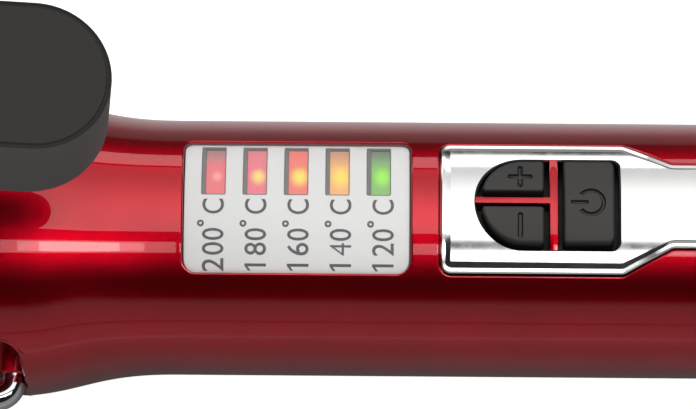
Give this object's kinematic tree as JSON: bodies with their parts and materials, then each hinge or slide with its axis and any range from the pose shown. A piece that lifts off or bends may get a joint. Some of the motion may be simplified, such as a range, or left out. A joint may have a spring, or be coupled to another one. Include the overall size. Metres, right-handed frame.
{
  "type": "curling iron",
  "caption": "Hair curling iron: round lacquered handle, lens over a temperature scale, key panel, sprung clamp with thumb lever, folding wire stand and swivelling cord gland.",
  "frame": {"origin": "centre of the cord gland's mouth, on the tool's long axis", "axes": "+X out of the gland, so the barrel points to -X; +Z through the thumb lever and the key panel"},
  "size_m": [0.334, 0.0412, 0.0737],
  "materials": {
    "candy_red": "metallic candy lacquer under a clear coat",
    "black_plastic": "fine satin texture",
    "key_grey": "soft satin",
    "trim_chrome": "plated plastic, bright",
    "wire_chrome": "plated steel wire",
    "barrel_chrome": "polished plated barrel",
    "lens_clear": "clear moulded cover",
    "plate_white": "pale silver-white print",
    "led_red": "diffuse lens",
    "led_rose": "diffuse lens",
    "led_amber": "diffuse lens",
    "led_orange": "diffuse lens",
    "led_green": "diffuse lens",
    "steel": "zinc plated",
    "spring_steel": "oiled",
    "heater_aluminium": "extruded",
    "heater_ceramic": "wrapped element",
    "board_green": "solder mask",
    "part_black": "moulded package",
    "lead_sleeve": "braided sleeve",
    "brass_contact": "turned",
    "foot_rubber": "heat-resistant sleeve"
  },
  "bodies": {
    "handle": {"upper_shell": "candy_red", "lower_shell": "candy_red", "shell_screws": "steel", "display_lens": "lens_clear", "display_plate": "plate_white", "led_200": "led_red", "led_180": "led_rose", "led_160": "led_amber", "led_140": "led_orange", "led_120": "led_green", "chrome_trim": "trim_chrome", "control_board": "board_green", "tact_switches": "part_black", "controller_chip": "part_black", "power_switch": "part_black", "smoothing_capacitor": "part_black", "barrel_tube": "barrel_chrome", "barrel_collar": "black_plastic", "cool_tip": "black_plastic", "heater_blocks": "heater_aluminium", "ptc_element": "heater_ceramic", "temperature_sensor": "steel", "thermal_fuse": "steel", "heater_leads": "lead_sleeve", "hinge_bracket": "steel", "pivot_pin": "steel", "return_spring": "spring_steel", "rear_cap": "black_plastic", "brush_block": "part_black", "brushes": "brass_contact"},
    "clamp": {"clamp_plate": "barrel_chrome", "lever_arm": "steel", "lever_rivets": "steel", "thumb_pad": "black_plastic"},
    "stand": {"stand_wire": "wire_chrome", "stand_foot": "foot_rubber"},
    "plus_button": {"plus_key": "key_grey"},
    "minus_button": {"minus_key": "key_grey"},
    "power_button": {"power_key": "key_grey"},
    "cord_end": {"cord_gland": "black_plastic", "slip_rings": "brass_contact"}
  },
  "joints": [
    {"name": "clamp_lever", "type": "hinge", "parent": "handle", "child": "clamp", "pos_m": [-0.178, 0, 0.0175], "axis": [0, 1, 0], "range_deg": [0, 22], "stiffness_Nm_per_rad": 0.3, "springref_deg": -28.65, "deforming": ["return_spring"]},
    {"name": "stand_fold", "type": "hinge", "parent": "handle", "child": "stand", "pos_m": [-0.137, 0, 0], "axis": [0, -1, 0], "range_deg": [0, 90]},
    {"name": "plus_press", "type": "slide", "parent": "handle", "child": "plus_button", "axis": [0, 0, -1], "range_m": [0, 0.0005], "stiffness_N_per_m": 600, "springref_m": -0.0005},
    {"name": "minus_press", "type": "slide", "parent": "handle", "child": "minus_button", "axis": [0, 0, -1], "range_m": [0, 0.0005], "stiffness_N_per_m": 600, "springref_m": -0.0005},
    {"name": "power_press", "type": "slide", "parent": "handle", "child": "power_button", "axis": [0, 0, -1], "range_m": [0, 0.0005], "stiffness_N_per_m": 600, "springref_m": -0.0005},
    {"name": "cord_swivel", "type": "hinge", "parent": "handle", "child": "cord_end", "pos_m": [-0.01, 0, 0], "axis": [1, 0, 0], "continuous": true}
  ]
}
